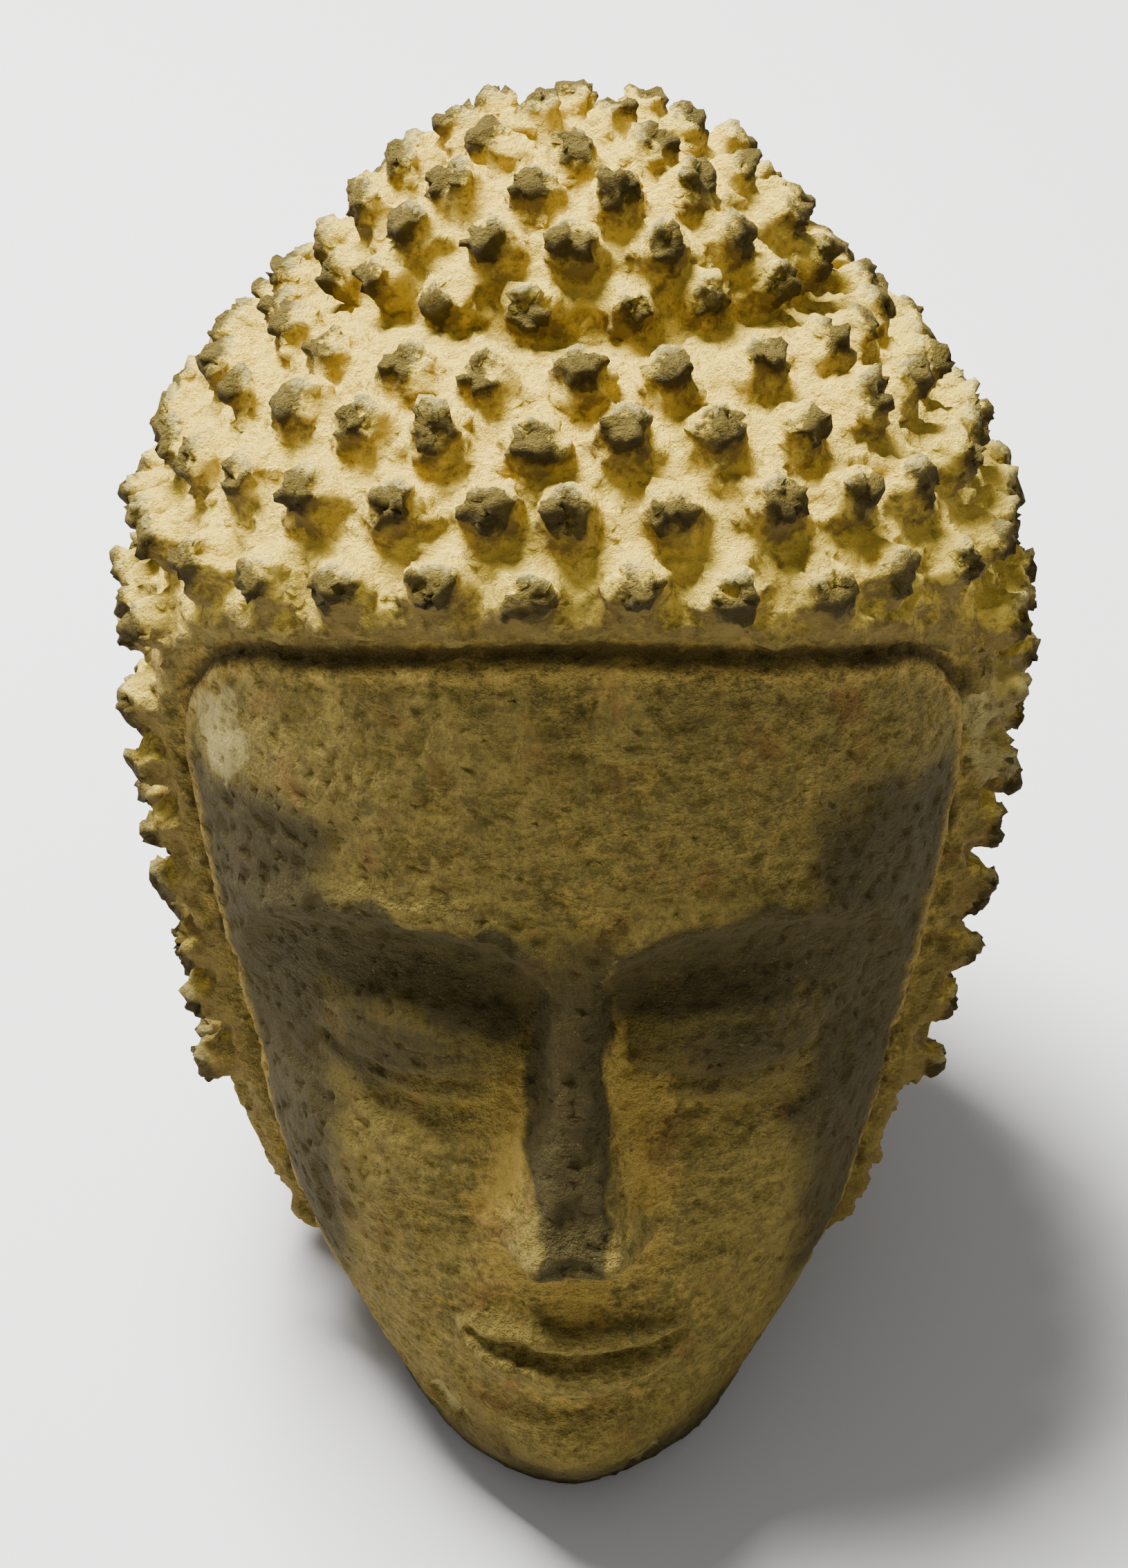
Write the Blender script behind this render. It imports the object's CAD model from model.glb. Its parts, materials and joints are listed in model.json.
"""A small sandstone Buddha head: carved, set with curls, weathered, coloured and lit.

The form is worked out in the head's own upright frame, in millimetres: the face looks along -Y, +X is
on the viewer's right and the chin is near z = 0. The carving is then leaned back and stood on z = 0.
"""
import json
import math

import bmesh
import bpy
import numpy as np
from bpy.props import FloatProperty, FloatVectorProperty, IntProperty, PointerProperty
from mathutils import Matrix, Vector, kdtree, noise

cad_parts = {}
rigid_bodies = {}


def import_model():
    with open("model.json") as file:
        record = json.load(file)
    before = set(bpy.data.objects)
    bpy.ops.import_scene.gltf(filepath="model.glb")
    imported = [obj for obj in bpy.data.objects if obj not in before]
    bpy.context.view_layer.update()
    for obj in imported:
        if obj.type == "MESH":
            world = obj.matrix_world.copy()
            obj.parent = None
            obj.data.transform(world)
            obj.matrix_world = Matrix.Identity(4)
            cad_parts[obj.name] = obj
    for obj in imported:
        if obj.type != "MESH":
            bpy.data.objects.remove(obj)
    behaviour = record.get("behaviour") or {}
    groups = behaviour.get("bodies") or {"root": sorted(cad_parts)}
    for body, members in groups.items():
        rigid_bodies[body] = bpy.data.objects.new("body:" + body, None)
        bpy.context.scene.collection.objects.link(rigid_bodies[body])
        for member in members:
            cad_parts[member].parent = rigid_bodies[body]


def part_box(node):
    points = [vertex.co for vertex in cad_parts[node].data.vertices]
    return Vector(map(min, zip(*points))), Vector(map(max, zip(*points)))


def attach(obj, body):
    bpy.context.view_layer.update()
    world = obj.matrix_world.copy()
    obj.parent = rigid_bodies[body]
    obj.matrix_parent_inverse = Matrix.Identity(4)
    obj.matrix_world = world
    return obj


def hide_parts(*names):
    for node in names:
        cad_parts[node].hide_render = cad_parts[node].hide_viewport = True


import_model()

bl_info = {
    "name": "Stone Buddha head",
    "version": (1, 0, 0),
    "blender": (4, 5, 0),
    "location": "View3D > Sidebar > Stone head",
    "description": "Carves, weathers, colours and lights a small sandstone Buddha head",
    "category": "Object",
}

NODE = "buddha_head"
CAD_LOW, CAD_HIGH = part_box(NODE)
DESIGN_HEIGHT = 109.4  # millimetres, from the cut to the top of the highest curl
MM = (CAD_HIGH.z - CAD_LOW.z) / DESIGN_HEIGHT  # one millimetre of the design, in scene units

# ---- driving dimensions, millimetres and degrees ----
LEAN_BACK = 15
CHIN_CLEARANCE = 3
BASE_CENTRE_Y = 4

# Level sections of the bare head from the forehead down: height, half width, reach to the front and to
# the back, and how square the front half is (2 is an ellipse).
SECTIONS = np.array([
    (74, 35.8, 36.5, 42.5, 2.35),
    (64, 34.6, 36.6, 42.5, 2.35),
    (54, 33.1, 36.0, 41.5, 2.3),
    (44, 31.1, 35.4, 39.0, 2.25),
    (34, 28.8, 35.0, 34.5, 2.2),
    (26, 26.8, 34.8, 31.0, 2.1),
    (18, 23.4, 34.4, 28.5, 2.0),
    (12, 20.4, 33.2, 27.0, 1.9),
    (7, 18.0, 30.5, 26.0, 1.85),
    (3, 16.8, 26.0, 25.5, 1.8),
    (-3, 16.5, 19.0, 25.0, 1.9),
    (-14, 17.0, 15.0, 25.0, 2.0),
])
SIDE, FRONT, BACK, SQUARE = 1, 2, 3, 4
WIDEST_Y = 3
CROWN_FROM, CROWN_TOP, CROWN_SQUARE = 74, 107.8, 2.35
LOWEST_Z = -14
KNOT_Y, KNOT_Z, KNOT_RADIUS, KNOT_HEIGHT, KNOT_DEPTH = 2.5, 104.8, 19.3, 14.2, 12
KNOT_GROOVE, KNOT_GROOVE_WIDTH = 0.9, 1.5
DOME_FOOT, PLUG_FOOT = -0.12, -0.5  # where the ball's dome ends and its plug is at full depth, in radians

# The groove round the face; its half width is measured round the head, on a circle of ROUND_RADIUS.
HAIRLINE_Z, HAIRLINE_HALF, CORNER, ROUND_RADIUS, GROOVE_FADE_Z = 85.5, 39, 13, 34, 16
DROOP = 6  # how much lower the groove is at the sides
ROW_DROOP = 0.55  # the share of that drop that the rows of curls follow
GROOVE_DEPTH, GROOVE_WIDTH, BEAD, BEAD_PLACE = 1.0, 0.7, 0.3, -1.7
HAIR_THICKNESS, NAPE_Z, TEMPLE_Z = 1.5, 21, 38
CURL_PITCH, CURL_BORDER, ROW_PITCH, CURL_CLEAR, KNOT_GAP = 7.1, 4.1, 5.6, 5.1, 2.6
RIM, RIM_PITCH, RIM_SLACK = 4.0, 5.9, 0.3
LOWEST_ROW_Z = NAPE_Z + 3
FILL_ROOM = 0.9  # how much more room a curl needs that fills a gap between the rows
CROWN_ROWS, SIDE_ROWS, KNOT_ROWS, KNOT_PITCH = 4, 11, 5, 6.9
KNOT_FIRST, KNOT_LAST = 0.24, 1.38  # slopes of the dome where its rows of curls start and end, in radians

EAR_Y, EAR_Z, EAR_LEAN, EAR_HALF_HEIGHT, EAR_HALF_WIDTH = 8, 31, 0.12, 22, 7.2
EAR_LOBE, EAR_LIFT, EAR_BOWL, EAR_BREAK_Z = 0.7, 3.0, 1.7, 32
EAR_FROM_X = 12  # the ears lie farther out than this
EAR_CURL_GAP = 3.4  # how far the curls keep off an ear
FAR_OFF = -9  # stands for a place well outside an ear

# The face is set out in thirds: chin to nose, nose to brow and brow to hairline are equal.
THIRD = 26.8
CHIN_Z = HAIRLINE_Z - 3 * THIRD
NOSE_Z = CHIN_Z + THIRD
BROW_MIDDLE, BROW_REACH, BROW_FOOT, BROW_RISE = 14.5, 28, NOSE_Z + 23, 7.4
BROW_RIDGE, BROW_WIDTH = 0.9, 1.3
SOCKET_DEPTH, SOCKET_BOTTOM = 2.3, NOSE_Z + 11
EYE_X, EYE_Z, EYE_HALF_WIDTH, EYE_HALF_HEIGHT, EYE_BULGE = 12.8, NOSE_Z + 19, 9.2, 6, 3
LID_Z, LID_SAG = NOSE_Z + 16.6, 1.7
NOSE_TOP, NOSE_TIP, NOSE_RISE, NOSE_RIDGE = NOSE_Z + 27, NOSE_Z + 3.2, 7.2, 1.5
NOSE_FOOT, NOSE_WING = 3.8, 4.7
MOUTH_Z, MOUTH_HALF, SMILE = CHIN_Z + 17.6, 10.2, 1.4
UPPER_LIP, LOWER_LIP, LIP_RISE, LIP_LINE = 3.6, 4.6, 2.2, 1.1
CHIN_BALL_Z, CHIN_WIDTH, CHIN_HEIGHT, CHIN_RISE, CHIN_DIP = CHIN_Z + 6, 8, 4.6, 2.2, 1.0
CHEEK_X, CHEEK_Z, CHEEK_WIDTH, CHEEK_RISE = 18, NOSE_Z + 5, 9.5, 1.3


# ---- small helpers ----
def mix(a, b, t):
    return a + (b - a) * t


def clamp01(t):
    return np.clip(t, 0, 1)


def bell(distance, width):
    return np.exp(-((distance / width) ** 2))


def smoothstep(low, high, value):
    t = clamp01((value - low) / (high - low))
    return t * t * (3 - 2 * t)


def scatter(count):
    """A number from 0 to 1 that is always the same for the same count."""
    value = math.sin(count * 12.9898 + 4.1) * 43758.5453
    return value - math.floor(value)


def length(vectors):
    return np.linalg.norm(vectors, axis=-1)


# ---- the bare body ----
def section_size(column, z):
    """One size of the level section at height z, smoothly through the sections."""
    levels, values = SECTIONS[:, 0], SECTIONS[:, column]
    slopes = np.zeros(len(levels))
    slopes[1:-1] = (values[2:] - values[:-2]) / (levels[2:] - levels[:-2])
    slopes[-1] = (values[-1] - values[-2]) / (levels[-1] - levels[-2])
    at = np.minimum(z, levels[0])
    i = np.searchsorted(-levels[1:-1], -at)
    span = levels[i + 1] - levels[i]
    t = clamp01((at - levels[i]) / span)
    t2, t3 = t * t, t * t * t
    ends = values[i] * (2 * t3 - 3 * t2 + 1) + values[i + 1] * (3 * t2 - 2 * t3)
    return ends + slopes[i] * span * (t3 - 2 * t2 + t) + slopes[i + 1] * span * (t3 - t2)


def section_at(z):
    """Half width, depth before and behind the widest place, and squareness at height z."""
    t = clamp01((z - CROWN_FROM) / (CROWN_TOP - CROWN_FROM))
    share = (1 - t**CROWN_SQUARE) ** (1 / CROWN_SQUARE)
    before = (section_size(FRONT, z) + WIDEST_Y) * share
    behind = (section_size(BACK, z) - WIDEST_Y) * share
    return section_size(SIDE, z) * share, before, behind, section_size(SQUARE, z)


def on_body(angle, z):
    """A point of the body: angle 0 is the middle of the face, and it grows towards +X."""
    angle, z = np.broadcast_arrays(angle, z)
    side, before, behind, front_square = section_at(z)
    across, ahead = np.sin(angle), np.cos(angle)
    square = np.where(ahead > 0, front_square, 2)
    reach = (np.abs(across) ** square + np.abs(ahead) ** square) ** (-1 / square)
    depth = np.where(ahead > 0, before, behind)
    return np.stack([side * reach * across, WIDEST_Y - depth * reach * ahead, z], axis=-1)


def on_knot(angle, slope):
    """A point of the top-knot's dome, with the slope of its side in radians."""
    angle, slope = np.broadcast_arrays(angle, slope)
    out, up = KNOT_RADIUS * np.cos(slope), KNOT_HEIGHT * np.sin(slope)
    return np.stack([out * np.sin(angle), KNOT_Y - out * np.cos(angle), KNOT_Z + up], axis=-1)


def frame_at(body, angle, v):
    """The two tangents and the outward normal of a body at places on it."""
    step = 0.01
    around = (body(angle + step, v) - body(angle - step, v)) / (2 * step)
    up = (body(angle, v + step) - body(angle, v - step)) / (2 * step)
    normal = np.cross(around, up)
    return around, up, normal / np.maximum(length(normal), 1e-9)[..., None]


# ---- hair ----
def droop(angle):
    """How much lower the groove is at an angle round the head than in the middle of the forehead."""
    return DROOP * np.sin(angle) ** 2


def past_hairline(angle, z):
    """Distance from the groove round the face: below 0 on the face, above 0 in the hair."""
    sideways = ROUND_RADIUS * np.abs(angle) - (HAIRLINE_HALF - CORNER)
    upwards = z + droop(angle) - (HAIRLINE_Z - CORNER)
    outside = np.hypot(np.maximum(sideways, 0), np.maximum(upwards, 0))
    return outside + np.minimum(np.maximum(sideways, upwards), 0) - CORNER


def groove_share(z):
    """1 where the groove is whole and 0 low on the neck, where it has run out."""
    return smoothstep(GROOVE_FADE_Z - 4, GROOVE_FADE_Z + 5, z)


def hair_relief(angle, z):
    """How far the cap of hair, the groove and the bead beside it stand off the bare body."""
    past = past_hairline(angle, z)
    carved = groove_share(z)
    nape = smoothstep(NAPE_Z - 1.2, NAPE_Z + 1.2, z)
    cap = HAIR_THICKNESS * smoothstep(0.3, 1.7, past) * nape
    bead = BEAD * bell(past - BEAD_PLACE, 0.8)
    return cap + (bead - GROOVE_DEPTH * bell(past, GROOVE_WIDTH)) * carved


# ---- ears ----
def ear_half_width(v):
    t = v / EAR_HALF_HEIGHT
    narrowing = mix(EAR_LOBE, 1, smoothstep(-0.45, 0.25, t))
    return EAR_HALF_WIDTH * np.sqrt(np.maximum(0, 1 - t * t)) * narrowing


def ear_place(points):
    """Place on the ear: u runs backwards across it, v runs up it, and edge is how far inside it."""
    v = points[..., 2] - EAR_Z
    u = points[..., 1] - EAR_Y - EAR_LEAN * v
    return u, v, np.where(np.abs(v) < EAR_HALF_HEIGHT, ear_half_width(v) - np.abs(u), FAR_OFF)


def ear_kept(points):
    """1 where an ear is whole and 0 where it has broken away."""
    kept = smoothstep(EAR_BREAK_Z - 0.9, EAR_BREAK_Z + 0.9, points[..., 2])
    return np.where(points[..., 0] > 0, kept, 1)


def ear_relief(points):
    """A flat plate with a raised rim round a hollow, and a slit down its long lobe."""
    u, v, edge = ear_place(points)
    hollow = EAR_BOWL * smoothstep(1.4, 3.2, edge) * smoothstep(-7, -2, v)
    inner = 0.9 * bell(np.hypot(u + 1, (v - 5) * 0.5), 2.6)
    slit = 1.3 * bell(u, 1.3) * smoothstep(-18, -14, v) * (1 - smoothstep(-7, -4, v))
    relief = smoothstep(-0.6, 0.9, edge) * mix(0.5, EAR_LIFT - hollow + inner - slit, ear_kept(points))
    return np.where(np.abs(points[..., 0]) < EAR_FROM_X, 0, relief)


# ---- face: how far the stone stands forward of the bare body at (x, z) ----
def brow_z(x):
    t = clamp01(np.abs(np.abs(x) - BROW_MIDDLE) / (BROW_REACH - BROW_MIDDLE))
    return BROW_FOOT + BROW_RISE * np.sqrt(1 - t * t)


def brow_relief(x, z):
    side = np.abs(x)
    below = brow_z(x) - z
    in_reach = (1 - smoothstep(25, 30, side)) * smoothstep(1.2, 3.2, side)
    ridge = BROW_RIDGE * bell(below, np.where(below > 0, BROW_WIDTH * 0.7, BROW_WIDTH * 1.5))
    hollow = smoothstep(0, 3.2, below) * smoothstep(SOCKET_BOTTOM - 3, SOCKET_BOTTOM + 5, z)
    corner = 1 + 0.5 * bell(np.hypot(side - 5.4, z - BROW_FOOT + 2), 3)
    return (ridge - SOCKET_DEPTH * hollow * corner) * in_reach


def eye_across(x):
    return (np.abs(x) - EYE_X) / EYE_HALF_WIDTH


def lid_z(x):
    return LID_Z - LID_SAG * (1 - eye_across(x) ** 2)


def crease_z(x):
    return EYE_Z + 4.6 * np.sqrt(np.maximum(0, 1 - eye_across(x) ** 2))


def eye_relief(x, z):
    across = eye_across(x)
    dome = np.maximum(0, 1 - across**2 - ((z - EYE_Z) / EYE_HALF_HEIGHT) ** 2)
    along = 1 - smoothstep(0.86, 1.04, np.abs(across))
    lids = 0.45 * bell(z - lid_z(x) - 1.1, 0.8) + 0.35 * bell(z - lid_z(x) + 1.3, 0.8)
    cuts = 0.9 * bell(z - lid_z(x), 0.7) + 0.5 * bell(z - crease_z(x), 0.7)
    return EYE_BULGE * dome**0.75 + along * (lids - cuts)


def nose_down(z):
    return clamp01((NOSE_TOP - z) / (NOSE_TOP - NOSE_TIP))


def nose_ridge(z):
    return NOSE_RIDGE * mix(0.85, 1.6, nose_down(z) ** 3)


def nose_foot(z):
    return mix(NOSE_FOOT, 6.6, nose_down(z) ** 2.2)


def nose_bottom(x):
    return NOSE_Z - 0.6 + 0.9 * (x / 6) ** 2


def nose_relief(x, z):
    side = np.abs(x)
    rise = NOSE_RISE * (0.1 + 0.9 * nose_down(z) ** 1.25)
    above = 1 - smoothstep(NOSE_TOP - 3, NOSE_TOP + 3, z)
    bridge = rise * (1 - smoothstep(nose_ridge(z), nose_foot(z), side)) * above
    wing = 3.0 * bell(np.hypot((side - NOSE_WING) / 2.1, (z - NOSE_Z - 2.4) / 2.4), 1)
    return (bridge + wing) * smoothstep(nose_bottom(x) - 0.8, nose_bottom(x) + 2.4, z)


def mouth_share(x):
    return clamp01(np.abs(x) / MOUTH_HALF)


def mouth_z(x):
    return MOUTH_Z + SMILE * mouth_share(x) ** 2


def mouth_relief(x, z):
    above = z - mouth_z(x)
    share_x = mouth_share(x)
    upper = np.maximum(0.1, UPPER_LIP * (1 - share_x**2) ** 0.65 - 0.8 * bell(x, 1.5))
    lower = np.maximum(0.1, LOWER_LIP * (1 - share_x**2.4) ** 0.7)
    share = clamp01(np.where(above > 0, above / upper, -above / lower))
    swell = LIP_RISE * np.where(above > 0, 0.85, 1) * np.sin(math.pi * share) ** 0.6
    lips = np.where(share_x < 1, swell, 0)
    muzzle = 1.9 * bell(np.hypot(x / 13, (z - MOUTH_Z - 1.4) / 8), 1)
    philtrum = 0.45 * bell(x, 1.1) * smoothstep(25.5, 27, z) * (1 - smoothstep(30, 32, z))
    corners = 0.8 * bell(np.hypot(np.abs(x) - MOUTH_HALF - 0.8, z - MOUTH_Z - 1.8), 1.9)
    parting = LIP_LINE * bell(above, 0.6) * (1 - smoothstep(0.88, 1.05, np.abs(x) / MOUTH_HALF))
    return muzzle + lips - philtrum - corners - parting


def chin_relief(x, z):
    ball = CHIN_RISE * bell(np.hypot(x / CHIN_WIDTH, (z - CHIN_BALL_Z) / CHIN_HEIGHT), 1)
    dip = CHIN_DIP * bell(np.hypot(x / 8.5, (z - CHIN_BALL_Z - 5.6) / 1.9), 1)
    cheeks = CHEEK_RISE * bell(np.hypot(np.abs(x) - CHEEK_X, z - CHEEK_Z), CHEEK_WIDTH)
    return ball - dip + cheeks


def face_relief(points, past):
    x, y, z = points[..., 0], points[..., 1], points[..., 2]
    on_face = 1 - smoothstep(-3.5, -0.8, past)
    forward = smoothstep(WIDEST_Y - 6, WIDEST_Y - 18, y)
    features = brow_relief(x, z) + eye_relief(x, z) + nose_relief(x, z) + mouth_relief(x, z)
    return (features + chin_relief(x, z)) * on_face * forward


# ---- carved surfaces: where the carving takes a place on the bare body ----
def carved_body(angle, z):
    bare = on_body(angle, z)
    normal = frame_at(on_body, angle, z)[2]
    beside_knot = np.hypot(bare[..., 0], bare[..., 1] - KNOT_Y) - KNOT_RADIUS
    knot_groove = np.where(z > CROWN_FROM, KNOT_GROOVE * bell(beside_knot, KNOT_GROOVE_WIDTH), 0)
    relief = hair_relief(angle, z) + ear_relief(bare) - knot_groove
    point = bare + normal * relief[..., None]
    point[..., 1] -= face_relief(bare, past_hairline(angle, z))
    return point


def lean_matrix():
    """From the upright frame in millimetres to where the head stands, in scene units."""
    lean = Matrix.Rotation(-math.radians(LEAN_BACK), 4, "X")
    chin = lean @ Vector(on_body(0.0, float(CHIN_Z)))
    lowered = Matrix.Translation((0, -BASE_CENTRE_Y, CHIN_CLEARANCE - chin.z))
    return Matrix.Scale(MM, 4) @ lowered @ lean


LEAN = np.array(lean_matrix())
UPRIGHT = np.linalg.inv(LEAN)


def placed(points, matrix):
    return points @ matrix[:3, :3].T + matrix[:3, 3]


# ---- where the curls stand ----
def walked_along(points):
    """The distance walked up to each point of a line."""
    return np.concatenate([[0], np.cumsum(length(np.diff(points, axis=0)))])


def row_heights():
    """The heights of the rows, from the one over the hairline up to the top-knot, and from there down."""
    profile = on_body(0.0, np.linspace(HAIRLINE_Z, CROWN_TOP - 1, 201))
    wanted = CURL_BORDER + ROW_PITCH * np.arange(CROWN_ROWS)
    crown = profile[np.searchsorted(walked_along(profile), wanted), 2]
    return crown, np.linspace(crown[0], LOWEST_ROW_Z, SIDE_ROWS + 1)[1:]


def even_row(body, v, pitch, shifted):
    """Places once round a body at one height, a pitch apart; the row may be shifted by half a pitch."""
    angles = np.linspace(0, 2 * math.pi, 241)
    walked = walked_along(body(angles, v))
    count = max(1, math.floor(walked[-1] / pitch + 0.5))
    shares = (np.arange(count) + (0.5 if shifted else 0)) / count
    found = angles[np.searchsorted(walked, shares * walked[-1] - 1e-6)]
    return [(angle - 2 * math.pi if angle > math.pi else angle, v) for angle in found]


def rows_of(body, heights, pitch, first_shifted):
    """Rows of places, every other one shifted by half a pitch."""
    rows = (even_row(body, v, pitch, (i % 2 == 0) == first_shifted) for i, v in enumerate(heights))
    return [place for row in rows for place in row]


def row_droop(angle, z):
    """The rows follow the groove down at the sides, but not high on the crown nor low on the neck."""
    near = smoothstep(CROWN_TOP - 9, HAIRLINE_Z, z) * smoothstep(LOWEST_ROW_Z, NAPE_Z + 30, z)
    return ROW_DROOP * droop(angle) * near


def body_curls():
    """Curls line the groove down both temples, and rows of them cover the rest of the head."""
    corner = HAIRLINE_Z - CORNER
    rim_count = math.floor((corner - TEMPLE_Z) / RIM_PITCH + 0.5)
    rim_angle = (HAIRLINE_HALF + RIM) / ROUND_RADIUS
    rim_heights = np.linspace(TEMPLE_Z, corner, rim_count + 1)
    rim = [(side * rim_angle, z) for z in rim_heights for side in (1, -1)]
    crown, below = row_heights()
    level = rows_of(on_body, crown, CURL_PITCH, True) + rows_of(on_body, below, CURL_PITCH, False)
    rows = [(angle, z - row_droop(angle, z)) for angle, z in level]
    levels = np.linspace(CROWN_TOP - 0.6, LOWEST_ROW_Z, 81)
    gaps = [place for z in levels for place in even_row(on_body, z, 2, False)]
    kept, feet = [], np.full((1, 3), 1e3)  # the first foot is a stand-in, far from the head
    for number, (angle, z) in enumerate([*rim, *rows, *gaps]):
        point = on_body(angle, z)
        room = CURL_CLEAR + (FILL_ROOM if number >= len(rim) + len(rows) else 0)
        in_hair = past_hairline(angle, z) > RIM - RIM_SLACK
        over_ear = abs(point[0]) > EAR_FROM_X and ear_place(point)[2] > -EAR_CURL_GAP
        on_temple = point[1] < EAR_Y and z < TEMPLE_Z - 1
        under_knot = math.hypot(point[0], point[1] - KNOT_Y) < KNOT_RADIUS + KNOT_GAP
        bare = not in_hair or over_ear or on_temple or under_knot
        if not bare and length(feet - point).min() > room:
            kept.append((angle, z))
            feet = np.vstack([feet, point])
    return kept


def knot_curls():
    """Rows of curls round the dome of the top-knot."""
    return rows_of(on_knot, np.linspace(KNOT_FIRST, KNOT_LAST, KNOT_ROWS), KNOT_PITCH, True)


# ---- meshes ----
def read_points(mesh):
    flat = np.empty(len(mesh.vertices) * 3)
    mesh.vertices.foreach_get("co", flat)
    return flat.reshape(-1, 3)


def write_points(mesh, points):
    mesh.vertices.foreach_set("co", np.ascontiguousarray(points, dtype=np.float64).ravel())
    mesh.update()


def read_normals(mesh):
    flat = np.empty(len(mesh.vertices) * 3, dtype=np.float32)
    mesh.vertex_normals.foreach_get("vector", flat)
    return flat.reshape(-1, 3)


def select_only(*objects):
    """Deselects everything, selects these objects and makes the first one active."""
    bpy.ops.object.select_all(action="DESELECT")
    for piece in objects:
        piece.select_set(True)
    bpy.context.view_layer.objects.active = objects[0]


def modify(piece, kind, **settings):
    """Adds a modifier, sets it and applies it."""
    select_only(piece)
    modifier = piece.modifiers.new(kind.title(), kind)
    for name, value in settings.items():
        setattr(modifier, name, value)
    bpy.ops.object.modifier_apply(modifier=modifier.name)


def sphere_places(mesh):
    """The angle round a ball, 0 in front and growing towards +X, and the latitude of its points."""
    x, y, z = read_points(mesh).T
    return np.arctan2(x, -y), np.arctan2(z, np.hypot(x, y))


def ball(name, segments, rings):
    """A ball of a quarter of the steps, split twice."""
    bpy.ops.object.select_all(action="DESELECT")
    bpy.ops.mesh.primitive_uv_sphere_add(segments=segments // 4, ring_count=rings // 4, radius=1)
    piece = bpy.context.object
    piece.name = name
    modify(piece, "SUBSURF", subdivision_type="SIMPLE", levels=2, render_levels=2)
    return piece


def drop_crumbs(piece):
    """Removes what isn't joined to the highest point of a piece."""
    select_only(piece)
    bpy.ops.object.mode_set(mode="EDIT")
    bpy.ops.mesh.select_mode(type="VERT")
    bpy.ops.mesh.select_all(action="DESELECT")
    edited = bmesh.from_edit_mesh(piece.data)
    max(edited.verts, key=lambda vert: vert.co.z).select_set(True)
    bmesh.update_edit_mesh(piece.data)
    bpy.ops.mesh.select_linked()
    bpy.ops.mesh.select_all(action="INVERT")
    bpy.ops.mesh.delete(type="VERT")
    bpy.ops.object.mode_set(mode="OBJECT")


def carve_blank(segments, rings):
    """The head without curls: a ball whose rings are laid at even distances down the bare body."""
    piece = ball("stone_head", segments, rings)
    angle, latitude = sphere_places(piece.data)
    fine = np.concatenate([
        CROWN_FROM + (CROWN_TOP - CROWN_FROM) * np.sin(np.linspace(math.pi / 2, 0, 400)),
        np.linspace(CROWN_FROM, LOWEST_Z, 400)[1:],
    ])
    side, before, behind, _ = section_at(fine)
    walked = walked_along(np.stack([(side + before + behind) / 3, fine], axis=-1))
    share = (math.pi / 2 - latitude) / math.pi
    z = np.interp(share * walked[-1], walked, fine)
    points = carved_body(angle, z)
    top = z > CROWN_TOP - 0.01
    points[top] = (0, WIDEST_Y, CROWN_TOP)
    bottom = share > 1 - 0.2 / rings
    points[bottom] = (0, WIDEST_Y, LOWEST_Z)
    write_points(piece.data, placed(points, LEAN))
    return piece


def carve_knot(segments, rings):
    """The top-knot: a dome on a short plug that sits inside the crown."""
    piece = ball("top_knot", segments, rings)
    angle, latitude = sphere_places(piece.data)
    dome = on_knot(angle, np.maximum(latitude, DOME_FOOT))
    dome[:, 2] -= smoothstep(DOME_FOOT, PLUG_FOOT, latitude) * KNOT_DEPTH
    closing = smoothstep(PLUG_FOOT, -math.pi / 2, latitude)
    dome[:, :2] = mix(dome[:, :2], np.array([0.0, KNOT_Y]), closing[:, None])
    write_points(piece.data, placed(dome, LEAN))
    return piece


# ---- curls: blunt studs cut by hand, each kind modelled once ----
CURL_FOOT, CURL_TIP, CURL_HEIGHT, CURL_SUNK = 3.4, 1.6, 3.7, 1.0
STRAY = 1.0  # millimetres that a curl may stand off its row
FLARE = (0.93, 0.92, 0.96)  # how far each level of the side is drawn in, from the foot up
CURL_KINDS = (
    # sides, tilt of the broken top in degrees, turn of the break, how far the top leans over
    (5, 0, 0.0, (0.0, 0.2)),
    (6, 16, 0.8, (0.3, 0.1)),
    (5, 11, 2.4, (-0.4, 0.3)),
    (4, 24, 4.0, (0.1, -0.4)),
    (6, 7, 5.2, (-0.2, -0.3)),
    (5, 28, 1.6, (0.4, 0.2)),
)


def select_level(edited, low, high):
    """Selects what lies between two heights of the mesh in edit mode."""
    for vert in edited.verts:
        vert.select_set(False)
    for vert in edited.verts:
        vert.select_set(low <= vert.co.z <= high)
    edited.select_flush_mode()


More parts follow.
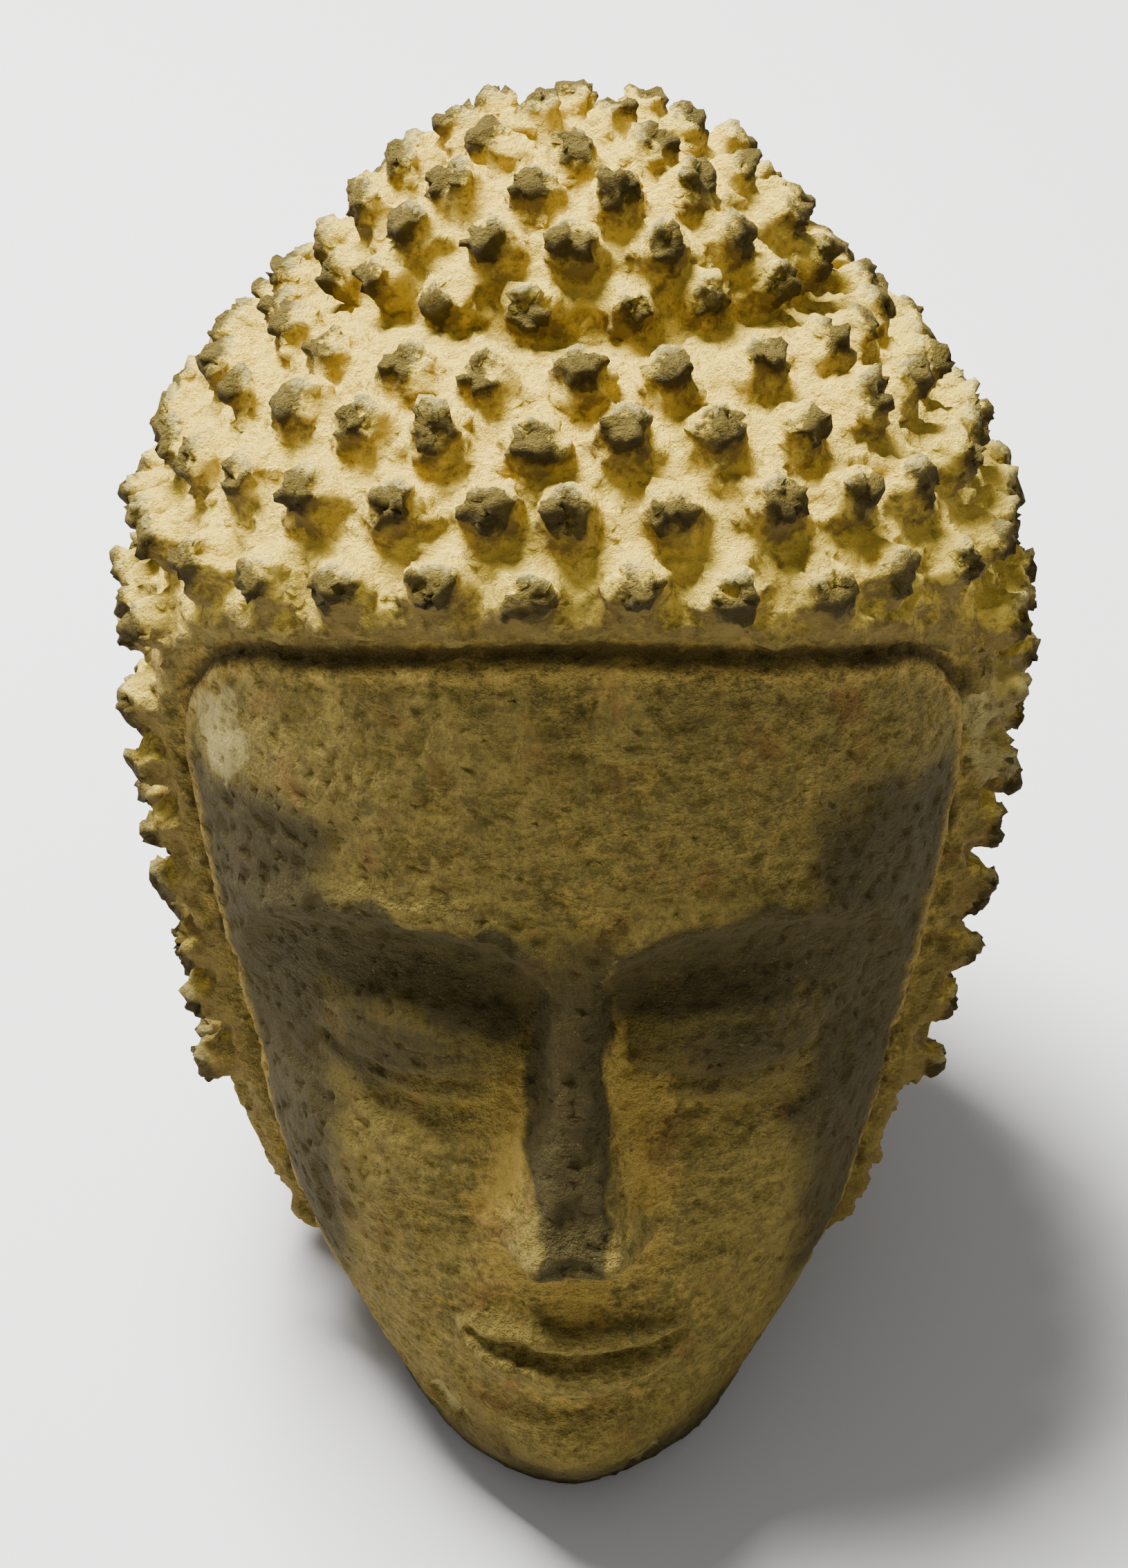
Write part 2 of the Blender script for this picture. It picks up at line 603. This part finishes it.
def model_curl(number, sides, tilt, turn, lean):
    """One kind of curl, in millimetres, standing on z = 0 with its foot sunk below."""
    bpy.ops.object.select_all(action="DESELECT")
    bpy.ops.mesh.primitive_cone_add(
        vertices=sides, radius1=CURL_FOOT, radius2=CURL_TIP, depth=CURL_HEIGHT,
        location=(0, 0, CURL_HEIGHT / 2),
    )
    curl = bpy.context.object
    curl.name = f"curl_kind_{number}"
    bpy.ops.object.transform_apply(location=True, rotation=True, scale=True)
    bpy.ops.object.mode_set(mode="EDIT")
    bpy.ops.mesh.select_mode(type="VERT")
    edited = bmesh.from_edit_mesh(curl.data)
    for edge in edited.edges:
        low, high = sorted(vert.co.z for vert in edge.verts)
        edge.select_set(high - low > 0.5 * CURL_HEIGHT)
    bmesh.update_edit_mesh(curl.data)
    bpy.ops.mesh.subdivide(number_cuts=len(FLARE))
    edited = bmesh.from_edit_mesh(curl.data)
    for level, size in enumerate(FLARE, start=1):
        height = level * CURL_HEIGHT / (len(FLARE) + 1)
        select_level(edited, height - 0.1, height + 0.1)
        bpy.ops.transform.resize(value=(size, size, 1), center_override=(0, 0, height))
    select_level(edited, -0.1, 0.1)
    bpy.ops.mesh.extrude_region_move(TRANSFORM_OT_translate={"value": (0, 0, -CURL_SUNK)})
    edited = bmesh.from_edit_mesh(curl.data)
    select_level(edited, CURL_HEIGHT - 0.1, CURL_HEIGHT + 0.1)
    bpy.ops.transform.translate(value=(*lean, 0))
    bpy.ops.mesh.bevel(offset=0.35, segments=2, affect="EDGES")
    if tilt:
        bpy.ops.mesh.select_all(action="SELECT")
        slope = math.radians(tilt)
        across = Vector((math.cos(turn), math.sin(turn), 0)) * math.sin(slope)
        bpy.ops.mesh.bisect(
            plane_co=(0, 0, CURL_HEIGHT - 0.3), plane_no=across + Vector((0, 0, math.cos(slope))),
            use_fill=True, clear_outer=True,
        )
    bpy.ops.mesh.select_all(action="SELECT")
    bpy.ops.mesh.normals_make_consistent(inside=False)
    bpy.ops.object.mode_set(mode="OBJECT")
    return curl


def strayed(surface, angle, v, count):
    """A curl's place, a little off its row as a hand sets it out."""
    around, up, _ = frame_at(surface, np.array(angle), np.array(v))
    aside, along = (STRAY * (scatter(count + part) - 0.5) for part in (0.1, 0.3))
    return angle + aside / length(around), v + along / length(up)


class CurlPlaces:
    """Every curl's foot and direction in the upright frame, with its size, turn and kind."""

    def __init__(self):
        self.places = []
        for surface, carve, rows, first in (
            (on_body, carved_body, body_curls(), 0),
            (on_knot, on_knot, knot_curls(), 0.25),
        ):
            for i, place in enumerate(rows):
                self.places.append((surface, carve, strayed(surface, *place, i), first + i))
        self.feet, self.normals, self.heights = [], [], []
        for surface, carve, (angle, v), count in self.places:
            self.feet.append(carve(np.array(angle), np.array(v)))
            self.normals.append(frame_at(surface, np.array(angle), np.array(v))[2])
            self.heights.append(mix(0.85, 1.1, scatter(count + 0.5)))
        self.feet, self.normals = np.array(self.feet), np.array(self.normals)

    def lay(self, shape, number):
        """The points of a curl's shape, moved from z = 0 to where curl `number` stands."""
        surface, carve, (angle, v), count = self.places[number]
        around, up, normal = frame_at(surface, np.array(angle), np.array(v))
        turn = scatter(count) * 2 * math.pi
        x = shape[:, 0] * math.cos(turn) - shape[:, 1] * math.sin(turn)
        y = shape[:, 0] * math.sin(turn) + shape[:, 1] * math.cos(turn)
        if surface is on_knot:  # its dome bends away from under the curl
            flat = np.outer(x, around / length(around)) + np.outer(y, up / length(up))
            ground = self.feet[number] + flat - np.outer((x * x + y * y) / (2 * KNOT_RADIUS), normal)
        else:
            ground = carve(angle + x / length(around), v + y / length(up))
        return ground + np.outer(shape[:, 2] * self.heights[number], normal)


CURLS = CurlPlaces()


# ---- weather: what use, burial and time have done to the surface ----
def cloud(points, size, octaves=3, shift=0.0):
    """Smooth noise of a grain size at each point, from about -1 to 1."""
    places = (points / size + shift).tolist()
    return np.array([noise.fractal(place, 0.9, 2.1, octaves) for place in places])


def body_place(points):
    """The angle round the body of points near it."""
    z = np.minimum(points[:, 2], CROWN_FROM)
    before, behind = section_size(FRONT, z) + WIDEST_Y, section_size(BACK, z) - WIDEST_Y
    depth = np.where(points[:, 1] < WIDEST_Y, before, behind)
    return np.arctan2(points[:, 0] / section_size(SIDE, z), (WIDEST_Y - points[:, 1]) / depth)


def curl_share(points):
    """Where a point is on its nearest curl: how far up it, from 0 to 1, and how far above its axis."""
    tree = kdtree.KDTree(len(CURLS.feet))
    for i, (foot, normal) in enumerate(zip(CURLS.feet, CURLS.normals)):
        tree.insert(foot + normal * CURL_HEIGHT * 0.6, i)
    tree.balance()
    nearest = np.array([tree.find(point)[1] for point in points.tolist()])
    offset, normal = points - CURLS.feet[nearest], CURLS.normals[nearest]
    up = np.sum(offset * normal, axis=1)
    out = np.sqrt(np.maximum(0, np.sum(offset * offset, axis=1) - up * up))
    share = up / (CURL_HEIGHT * np.array(CURLS.heights)[nearest])
    upwards = UPRIGHT[:3, 2] * MM
    uphill = upwards - normal * (normal @ upwards)[:, None]
    above = np.sum(offset * uphill, axis=1) / np.maximum(length(uphill), 1e-6)
    return clamp01(share) * (1 - smoothstep(2.6, 3.8, out)), above


class Skin:
    """What the weathering and the colours need to know about each point of the stone."""

    def __init__(self, mesh):
        self.points = placed(read_points(mesh), UPRIGHT)
        self.standing = read_normals(mesh)
        self.normals = self.standing @ UPRIGHT[:3, :3].T * MM
        self.angle = body_place(self.points)
        self.past = past_hairline(self.angle, self.points[:, 2])
        self.curl, self.above = curl_share(self.points)
        low = smoothstep(NAPE_Z - 2, NAPE_Z + 2, self.points[:, 2])
        beside = np.abs(self.points[:, 0]) > EAR_FROM_X
        ear_edge = np.where(beside, ear_place(self.points)[2], FAR_OFF)
        self.hair = smoothstep(-0.2, 1.2, self.past) * low * (1 - smoothstep(-1.5, 0.5, ear_edge))
        self.face = 1 - smoothstep(-1.6, -0.4, self.past)


# Scrapes that show pale stone: the angle round the head, the height, the radius and the depth.
SCRAPES = ((1.3, 70, 8, 0.1), (-0.6, 12, 3.5, 0.8), (-0.9, 74, 5, 0.1), (0.35, 8, 3, 0.6))


def scraped(skin):
    """How pale each point is scraped, from 0 to 1, and how deep, in millimetres."""
    ragged = 0.45 * cloud(skin.points, 3.5, 4, 4.9)
    share, depth = np.zeros(len(ragged)), np.zeros(len(ragged))
    for angle, z, radius, deep in SCRAPES:
        away = np.hypot((skin.angle - angle) * ROUND_RADIUS, skin.points[:, 2] - z) / radius
        here = smoothstep(1.0, 0.6, away + ragged)
        share, depth = np.maximum(share, here), np.maximum(depth, here * deep)
    return share, depth


# How far each kind of wear moves the surface, in millimetres.
SWELL, RIPPLE = 0.30, 0.12
CRUST, FLAKE, CHIP = 0.42, 0.42, 0.8
GRAIN, BED, PIT, BRUISE = 0.09, 0.08, 0.26, 0.35


def wear(skin):
    """How far each point moves outwards, in millimetres."""
    points, hair = skin.points, skin.hair
    broad = SWELL * cloud(points, 12, 2) + RIPPLE * cloud(points, 4.5, 2, 3.1)
    crust = cloud(points, 1.6, 4, 7.7)
    flakes = smoothstep(0.0, 0.2, cloud(points * (1, 1, 1.8), 3.0, 3, 1.3)) * smoothstep(-0.3, 0.4, crust)
    chips = smoothstep(0.1, 0.4, cloud(points, 1.9, 3, 5.9)) * smoothstep(0.4, 0.9, skin.curl)
    in_hair = CRUST * crust + FLAKE * flakes - CHIP * chips
    bedding = cloud(points * (0.3, 0.3, 1.6), 1.4, 3, 2.2)
    pits = smoothstep(0.22, 0.45, cloud(points, 1.3, 2, 9.4))
    bruises = smoothstep(0.3, 0.6, cloud(points, 6.0, 3, 6.6))
    on_face = GRAIN * cloud(points, 0.9, 3, 4.4) + BED * bedding - PIT * pits - BRUISE * bruises
    return broad + mix(on_face, in_hair, hair) - scraped(skin)[1]


def smoothed(values, edges, rounds):
    """Values at the points, spread along the edges a number of times."""
    count = len(values)
    first, second = edges.T
    shares = np.bincount(edges.ravel(), minlength=count)
    for _ in range(rounds):
        values = np.stack([
            np.bincount(first, column[second], count) + np.bincount(second, column[first], count)
            for column in values.T
        ], axis=-1) / shares[:, None]
    return values


def hollowness(mesh, skin, rounds):
    """How deep each point lies under the smoothed surface, in millimetres; below 0 it stands proud."""
    edges = np.empty(len(mesh.edges) * 2, dtype=np.int32)
    mesh.edges.foreach_get("vertices", edges)
    level = smoothed(skin.points, edges.reshape(-1, 2), rounds)
    return np.sum((level - skin.points) * skin.normals, axis=1)


def write_value(mesh, name, values):
    attribute = mesh.attributes.new(name, "FLOAT", "POINT")
    attribute.data.foreach_set("value", values.astype(np.float32))


FINE_ROUNDS, BROAD_ROUNDS = 5, 60  # how often the surface is smoothed to find its small and wide hollows
DRIFT = 2.4  # millimetres that the edges of the dark skin wander


def dark_skin(points):
    """Where the dark skin of age lies on the face: over the brows, down the nose and on the cheeks."""
    drift = np.stack([cloud(points, 7, 3, shift) for shift in (0.4, 5.2, 8.8)], axis=-1)
    x, z = (points + DRIFT * drift)[:, [0, 2]].T
    side = np.abs(x)
    below = brow_z(np.minimum(side, BROW_REACH)) - z
    brows = smoothstep(-1.0, 0.8, below) * (1 - smoothstep(6, 11, below)) * smoothstep(0.0, 5.0, side)
    lids = 0.8 * bell(np.hypot((side - EYE_X - 3) / 11, (z - EYE_Z + 1) / 6.5), 1)
    nose = (1 - smoothstep(1.8, 4.2, side)) * smoothstep(NOSE_Z - 1, NOSE_Z + 3, z)
    nose = nose * (1 - smoothstep(57, 63, z))
    cheeks = 0.9 * smoothstep(15, 24, side) * smoothstep(12, 24, z) * (1 - smoothstep(66, 76, z))
    jaw = 0.7 * (1 - smoothstep(6, 16, z))
    return np.maximum.reduce([brows, lids, nose, cheeks, jaw])


def paint(mesh):
    """Writes on the mesh where each layer of colour lies."""
    skin = Skin(mesh)
    fine, broad = hollowness(mesh, skin, FINE_ROUNDS), hollowness(mesh, skin, BROAD_ROUNDS)
    carved = groove_share(skin.points[:, 2])
    wander = cloud(skin.points, 5, 3, 2.9)
    write_value(mesh, "hair", skin.hair * smoothstep(0.0, 4.5, skin.past + 1.2 * wander))
    write_value(mesh, "curl", skin.curl)
    write_value(mesh, "above", clamp01(0.5 + skin.above / 5))
    write_value(mesh, "dusty", smoothstep(-2.0, 6.0, skin.past) * smoothstep(45, 92, skin.points[:, 2]))
    write_value(mesh, "hollow", clamp01(0.5 + fine * 2.2))
    write_value(mesh, "dip", clamp01(0.5 + broad * 0.5))
    write_value(mesh, "upward", clamp01(0.5 + 0.5 * skin.standing[:, 2]))
    write_value(mesh, "groove", bell(skin.past + 0.3 * wander + 0.25, 1.05 + 0.4 * wander) * carved)
    write_value(mesh, "bead", bell(skin.past - BEAD_PLACE, 0.8) * carved)
    write_value(mesh, "dark_skin", dark_skin(skin.points) * skin.face)
    write_value(mesh, "scrape", scraped(skin)[0])


# ---- operators ----
ON_CUT = 0.02  # millimetres above the flat cut within which a point belongs to it


class HeadSettings(bpy.types.PropertyGroup):
    """Sizes of the stone head's fine form."""

    segments: IntProperty(
        name="Steps round the head", description="How many faces the carving has round the head",
        default=620, min=60,
    )
    rings: IntProperty(
        name="Steps down the head", description="How many faces the carving has from the crown to the neck",
        default=420, min=40,
    )
    grain: FloatProperty(
        name="Grain", description="Size of the cells that the stone is worked out in",
        default=0.42 * MM, unit="LENGTH",
    )
    triangles: IntProperty(
        name="Triangles", description="How many triangles the head is thinned to", default=196000, min=1000,
    )


class STONE_OT_carve(bpy.types.Operator):
    """Carve the head and its top-knot from two balls"""

    bl_idname = "stone.carve"
    bl_label = "Carve the head"

    def execute(self, context):
        settings = context.scene.stone_head
        carve_blank(settings.segments, settings.rings)
        carve_knot(settings.segments // 2, settings.rings // 3)
        return {"FINISHED"}


class STONE_OT_curls(bpy.types.Operator):
    """Model each kind of curl once and set copies of them all over the hair"""

    bl_idname = "stone.curls"
    bl_label = "Set the curls"

    def execute(self, context):
        kinds = [model_curl(i, *kind) for i, kind in enumerate(CURL_KINDS)]
        shapes = [read_points(kind.data) for kind in kinds]
        curls = []
        for number in range(len(CURLS.places)):
            kind = int(scatter(number + 0.75) * len(kinds))
            copy = kinds[kind].copy()
            copy.data = kinds[kind].data.copy()
            context.collection.objects.link(copy)
            write_points(copy.data, placed(CURLS.lay(shapes[kind], number), LEAN))
            curls.append(copy)
        select_only(*curls)
        bpy.ops.object.join()
        bpy.context.object.name = "curls"
        for kind in kinds:
            bpy.data.objects.remove(kind)
        return {"FINISHED"}


class STONE_OT_fuse(bpy.types.Operator):
    """Make the head, its top-knot and its curls one stone, cut flat below"""

    bl_idname = "stone.fuse"
    bl_label = "Fuse into one stone"

    def execute(self, context):
        settings = context.scene.stone_head
        pieces = [bpy.data.objects[name] for name in ("stone_head", "top_knot", "curls")]
        select_only(*pieces)
        bpy.ops.object.join()
        head = context.object
        modify(head, "REMESH", mode="VOXEL", voxel_size=settings.grain)
        modify(head, "SMOOTH", factor=0.5, iterations=2)
        select_only(head)
        bpy.ops.object.mode_set(mode="EDIT")
        bpy.ops.mesh.select_all(action="SELECT")
        bpy.ops.mesh.bisect(plane_co=(0, 0, 0), plane_no=(0, 0, -1), use_fill=True, clear_outer=True)
        bpy.ops.object.mode_set(mode="OBJECT")
        drop_crumbs(head)
        return {"FINISHED"}


class STONE_OT_weather(bpy.types.Operator):
    """Wear the stone, thin its mesh and write on it where each colour lies"""

    bl_idname = "stone.weather"
    bl_label = "Weather the stone"

    def execute(self, context):
        settings = context.scene.stone_head
        head = bpy.data.objects["stone_head"]
        skin = Skin(head.data)
        moved = skin.points + skin.normals * wear(skin)[:, None]
        flat = read_points(head.data)[:, 2] < ON_CUT * MM
        points = placed(moved, LEAN)
        points[flat] = read_points(head.data)[flat]
        points[:, 2] = np.maximum(points[:, 2], 0)
        write_points(head.data, points)
        modify(head, "TRIANGULATE")
        modify(head, "DECIMATE", ratio=settings.triangles / len(head.data.polygons))
        drop_crumbs(head)
        bpy.ops.object.shade_smooth()
        paint(head.data)
        return {"FINISHED"}


class STONE_OT_finish(bpy.types.Operator):
    """Give the stone its colours and its grain"""

    bl_idname = "stone.finish"
    bl_label = "Colour the stone"

    def execute(self, context):
        head = bpy.data.objects["stone_head"]
        head.data.materials.clear()
        head.data.materials.append(sandstone(context.scene.stone_colours))
        return {"FINISHED"}


class STONE_OT_stage(bpy.types.Operator):
    """Lay the pale floor, hang the soft lights and set the camera"""

    bl_idname = "stone.stage"
    bl_label = "Set the stage"

    def execute(self, context):
        stage = context.scene.stone_stage
        bpy.ops.object.select_all(action="DESELECT")
        bpy.ops.mesh.primitive_plane_add(size=stage.floor_size)
        floor = context.object
        floor.name = "floor"
        floor.data.materials.append(floor_material(stage.floor_colour))
        world = bpy.data.worlds.new("soft_room")
        world.use_nodes = True
        background = world.node_tree.nodes["Background"]
        background.inputs["Color"].default_value = (*stage.room_colour, 1)
        background.inputs["Strength"].default_value = stage.room_strength
        context.scene.world = world
        hang_light(context, "key_light", stage.key_place, stage.key_size, stage.key_power)
        hang_light(context, "front_light", stage.front_place, stage.front_size, stage.front_power)
        camera = bpy.data.cameras.new("camera")
        camera.lens = stage.lens
        holder = bpy.data.objects.new("camera", camera)
        context.collection.objects.link(holder)
        holder.location = Vector(stage.camera_place)
        holder.rotation_euler = (math.pi / 2 - stage.camera_down, 0, 0)
        context.scene.camera = holder
        return {"FINISHED"}


def hang_light(context, name, place, size, power):
    """A square soft light that looks at the middle of the head."""
    lamp = bpy.data.lights.new(name, "AREA")
    lamp.size, lamp.energy = size, power
    holder = bpy.data.objects.new(name, lamp)
    context.collection.objects.link(holder)
    holder.location = place
    middle = (CAD_LOW + CAD_HIGH) / 2
    holder.rotation_euler = (middle - holder.location).to_track_quat("-Z", "Y").to_euler()


def floor_material(colour):
    """A plain matt finish for the floor."""
    material = bpy.data.materials.new("pale_floor")
    material.use_nodes = True
    finish = material.node_tree.nodes["Principled BSDF"]
    finish.inputs["Base Color"].default_value = (*colour, 1)
    finish.inputs["Roughness"].default_value = 0.9
    return material


# ---- materials ----
class Value:
    """A number that changes over the stone; sums on it add Math nodes."""

    def __init__(self, bench, socket):
        self.bench, self.socket = bench, socket

    def __add__(self, other):
        return self.bench.sum("ADD", self, other)

    def __sub__(self, other):
        return self.bench.sum("SUBTRACT", self, other)

    def __rsub__(self, other):
        return self.bench.sum("SUBTRACT", other, self)

    def __mul__(self, other):
        return self.bench.sum("MULTIPLY", self, other)

    __radd__ = __add__


class Bench:
    """Adds nodes to one material and links them."""

    def __init__(self, name):
        self.material = bpy.data.materials.new(name)
        self.material.use_nodes = True
        self.tree = self.material.node_tree
        self.finish = self.tree.nodes["Principled BSDF"]
        self.place = self.node("ShaderNodeTexCoord", output="Object")

    def node(self, kind, settings=None, sockets=None, output=0):
        """One node: its settings are made first, then its sockets get values or links."""
        made = self.tree.nodes.new(kind)
        for name, setting in (settings or {}).items():
            setattr(made, name, setting)
        self.feed(made, sockets or {})
        return Value(self, made.outputs[output])

    def feed(self, node, sockets):
        for key, value in sockets.items():
            if isinstance(value, Value):
                self.tree.links.new(value.socket, node.inputs[key])
            else:
                node.inputs[key].default_value = value

    def sum(self, operation, first, second):
        return self.node("ShaderNodeMath", {"operation": operation}, {0: first, 1: second})

    def painted(self, name):
        return self.node("ShaderNodeAttribute", {"attribute_name": name}, output="Fac")

    def grain(self, size, detail=3.0, rough=0.55, stretch=(1, 1, 1), shift=0.0):
        """Noise of a grain size in millimetres, from 0 to 1."""
        scale = tuple(1 / (size * MM * part) for part in stretch)
        place = self.node("ShaderNodeMapping", None, {
            "Vector": self.place, "Scale": scale, "Location": (shift, shift * 0.7, -shift),
        })
        return self.node("ShaderNodeTexNoise", None, {
            "Vector": place, "Scale": 1.0, "Detail": detail, "Roughness": rough,
        })

    def between(self, low, high, value):
        """0 below `low`, 1 above `high` and a smooth step between them."""
        return self.node("ShaderNodeMapRange", {"interpolation_type": "SMOOTHSTEP"}, {
            "Value": value, "From Min": low, "From Max": high,
        })

    def layer(self, below, above, share):
        """A colour with another laid over it."""
        colours = [part if isinstance(part, Value) else (*part, 1) for part in (below, above)]
        settings = {"data_type": "RGBA", "clamp_factor": True}
        return self.node("ShaderNodeMix", settings, {0: share, 6: colours[0], 7: colours[1]}, output=2)


def sandstone(colours):
    """Brown sandstone: dust and dark tips in the hair, dark skin on the face, dirt in the groove."""
    bench = Bench("weathered_sandstone")
    hair, curl, above = bench.painted("hair"), bench.painted("curl"), bench.painted("above")
    dusty, hollow, dip = bench.painted("dusty"), bench.painted("hollow"), bench.painted("dip")
    upward, groove, bead = bench.painted("upward"), bench.painted("groove"), bench.painted("bead")
    dark_skin_share = bench.painted("dark_skin")
    patch, blot = bench.grain(8, 4, 0.6), bench.grain(2.4, 5, 0.65, shift=4)
    fleck, speck = bench.grain(0.9, 4, 0.7, shift=9), bench.grain(0.36, 3, 0.7, shift=2)
    layers = bench.grain(1.3, 4, 0.65, stretch=(3.5, 3.5, 0.8), shift=6)
    crust = bench.grain(1.5, 6, 0.75, shift=12)
    mottle = blot * 0.2 + fleck * 0.35 + speck * 0.25 + layers * 0.2

    stone = bench.layer(colours.brown, colours.ochre, bench.between(0.40, 0.60, mottle))
    stain = bench.between(0.56, 0.70, bench.grain(5, 4, 0.6, shift=21))
    stone = bench.layer(stone, colours.rust, stain * 0.5)
    earth = bench.between(0.52, 0.74, dip * 0.5 + patch * 0.6 + (mottle - 0.5) - dark_skin_share * 0.25)
    stone = bench.layer(stone, colours.earth, earth * 0.65)
    skin_edge = dark_skin_share + (patch - 0.5) * 0.6 + (mottle - 0.5) * 2.6
    stone = bench.layer(stone, colours.dark, bench.between(0.22, 0.80, skin_edge) * 0.88)
    stone = bench.layer(stone, colours.earth, bead * bench.between(0.40, 0.55, mottle) * 0.7)

    crumbs = (blot - 0.5) * 0.5 + (fleck - 0.5) * 0.5 + (crust - 0.5) * 0.6
    dust = bench.between(0.44, 0.76, upward * 0.58 + dusty * 0.30 + (above - 0.5) * 0.4 * curl + crumbs)
    in_hair = bench.layer(colours.shade, colours.ochre, bench.between(0.54, 0.62, mottle) * 0.7)
    in_hair = bench.layer(in_hair, colours.dust, dust)
    in_hair = bench.layer(in_hair, colours.shade, bench.between(0.52, 0.66, crust) * (0.25 + hollow * 0.5))
    tip = bench.between(0.53, 0.80, curl * (1.3 - above * 0.6) + crumbs * 1.2)
    in_hair = bench.layer(in_hair, colours.tip, tip * 0.9)
    edge = bench.between(0.64, 0.80, above + (fleck - 0.5) * 0.6 + (blot - 0.5) * 0.5)
    in_hair = bench.layer(in_hair, colours.pale, edge * bench.between(0.55, 0.8, curl) * 0.4)

    stone = bench.layer(stone, in_hair, hair)
    scrape = bench.between(0.45, 1.15, bench.painted("scrape") + crumbs * 1.5)
    stone = bench.layer(stone, colours.scrape, scrape * 0.55)
    grime = bench.between(0.30, 0.90, groove + (fleck - 0.5) * 1.1 + (blot - 0.5) * 0.8)
    stone = bench.layer(stone, colours.groove, grime * 0.85)
    pits = bench.between(0.60, 0.72, speck * 0.5 + fleck * 0.5)
    stone = bench.layer(stone, colours.groove, pits * (0.55 - hair * 0.3))
    stone = bench.layer(stone, colours.pale, bench.between(0.64, 0.80, 1 - speck) * 0.3)

    height = speck * 0.5 + fleck * 1.1 + layers * 0.7 - pits * 0.4 + crust * hair * 2.6
    bump = bench.node("ShaderNodeBump", None, {"Strength": 1.0, "Distance": 1.0 * MM, "Height": height})
    bench.feed(bench.finish, {"Base Color": stone, "Normal": bump, "Roughness": 0.95})
    bench.finish.inputs["Specular IOR Level"].default_value = 0.15
    return bench.material


def srgb(red, green, blue):
    """A colour of 0 to 255 a channel, as a screen shows it, in the linear values that nodes use."""
    shares = [part / 255 for part in (red, green, blue)]
    return tuple(part / 12.92 if part <= 0.04045 else ((part + 0.055) / 1.055) ** 2.4 for part in shares)


def tint(name, description, *default):
    return FloatVectorProperty(
        name=name, description=description, subtype="COLOR", min=0, max=1, default=default,
    )


def colour(name, description, red, green, blue):
    return tint(name, description, *srgb(red, green, blue))


class StoneColours(bpy.types.PropertyGroup):
    """The stone's own colours and those of what lies on it."""

    ochre: colour("Ochre", "Bare stone where it is light", 132, 114, 54)
    brown: colour("Brown", "Bare stone where it is dull", 88, 76, 34)
    rust: colour("Rust", "Reddish stains on the bare stone", 118, 84, 40)
    earth: colour("Earth", "Yellow earth left in the hollows", 170, 142, 66)
    dark: colour("Dark skin", "The dark skin of age on the face", 57, 50, 26)
    shade: colour("Hair", "Stone of the hair under its dust", 140, 118, 62)
    dust: colour("Dust", "Cream dust on the upper sides of the hair", 242, 208, 84)
    tip: colour("Tips", "Dark tips of the curls", 60, 51, 24)
    scrape: colour("Scrapes", "Pale stone where the skin is scraped off", 176, 162, 104)
    pale: colour("Pale edges", "Scraped edges of the tips", 220, 202, 126)
    groove: colour("Groove", "Dirt in the groove and in the pits", 58, 47, 18)


def measure(name, description, default, **unit):
    return FloatProperty(name=name, description=description, default=default, **unit)


def spot(name, description, *default):
    return FloatVectorProperty(name=name, description=description, subtype="XYZ", default=default)


class StageSettings(bpy.types.PropertyGroup):
    """The floor, the lights and the camera."""

    floor_size: measure("Floor", "Width of the square floor", 6.0, unit="LENGTH")
    floor_colour: tint("Floor colour", "Colour of the floor", 0.5, 0.49, 0.48)
    room_colour: tint("Room colour", "Colour of the light from all round", 0.95, 0.97, 1.0)
    room_strength: measure("Room light", "Strength of the light from all round", 0.4)
    key_place: spot("Key light", "Place of the light above and behind the head", -0.2, 0.24, 0.72)
    key_size: measure("Key light size", "Width of the key light", 0.3, unit="LENGTH")
    key_power: measure("Key light power", "Power of the key light", 40.0, unit="POWER")
    front_place: spot("Front light", "Place of the faint light before the face", 0.3, -0.9, 0.6)
    front_size: measure("Front light size", "Width of the front light", 0.9, unit="LENGTH")
    front_power: measure("Front light power", "Power of the front light", 2.0, unit="POWER")
    camera_place: spot("Camera", "Place of the camera", -0.9 * MM, -232.1 * MM, 232.3 * MM)
    camera_down: measure(
        "Camera looks down", "How far the camera is turned down from level", math.radians(37),
        subtype="ANGLE",
    )
    lens: measure("Lens", "Focal length of the camera", 77.3, unit="CAMERA")


class STONE_PT_head(bpy.types.Panel):
    """The steps of making the head, with their sizes and colours"""

    bl_idname = "STONE_PT_head"
    bl_label = "Stone head"
    bl_space_type = "VIEW_3D"
    bl_region_type = "UI"
    bl_category = "Stone head"

    def draw(self, context):
        scene = context.scene
        for settings in (scene.stone_head, scene.stone_colours, scene.stone_stage):
            column = self.layout.column()
            for name in settings.__annotations__:
                column.prop(settings, name)
        for step in STEPS:
            self.layout.operator(step.bl_idname)


STEPS = (
    STONE_OT_carve, STONE_OT_curls, STONE_OT_fuse, STONE_OT_weather, STONE_OT_finish, STONE_OT_stage,
)
CLASSES = (HeadSettings, StageSettings, StoneColours, *STEPS, STONE_PT_head)


def register():
    for each in CLASSES:
        bpy.utils.register_class(each)
    bpy.types.Scene.stone_head = PointerProperty(type=HeadSettings)
    bpy.types.Scene.stone_stage = PointerProperty(type=StageSettings)
    bpy.types.Scene.stone_colours = PointerProperty(type=StoneColours)


def unregister():
    del bpy.types.Scene.stone_colours
    del bpy.types.Scene.stone_stage
    del bpy.types.Scene.stone_head
    for each in reversed(CLASSES):
        bpy.utils.unregister_class(each)


def main():
    register()
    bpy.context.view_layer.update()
    bpy.ops.stone.carve()
    bpy.ops.stone.curls()
    bpy.ops.stone.fuse()
    bpy.ops.stone.weather()
    bpy.ops.stone.finish()
    head = bpy.data.objects["stone_head"]
    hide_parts(NODE)
    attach(head, "root")
    bpy.ops.stone.stage()


if __name__ == "__main__":
    main()
